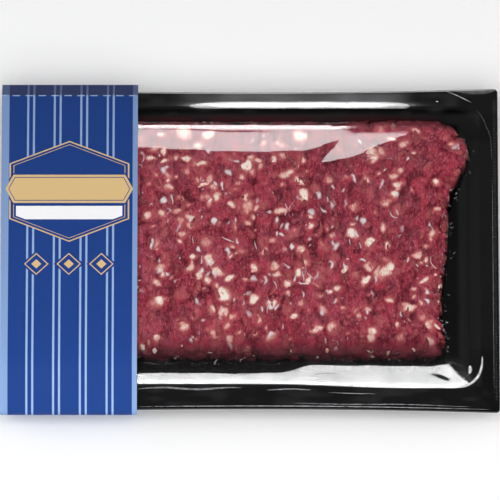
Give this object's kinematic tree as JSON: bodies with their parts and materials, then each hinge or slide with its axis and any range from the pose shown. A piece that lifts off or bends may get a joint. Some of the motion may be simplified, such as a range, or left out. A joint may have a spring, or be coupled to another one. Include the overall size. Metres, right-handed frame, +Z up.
{
  "type": "skin-packed tray of coarse minced meat",
  "caption": "Shallow black formed tray holding a flat block of coarse minced meat under a clear sealed skin film, with a printed card sleeve round one end.",
  "frame": {"origin": "under the middle of the pack, on the plane that it rests on", "axes": "+X along the pack from the sleeved end to the open end, +Y towards its back edge, +Z up through the film"},
  "size_m": [0.2302, 0.168, 0.029],
  "materials": {
    "tray": "gloss",
    "mince": "moist",
    "film": "clear gloss",
    "sleeve": "coated card"
  },
  "bodies": {
    "root": {"tray": "tray", "mince": "mince", "film": "film", "sleeve": "sleeve"}
  },
  "joints": []
}
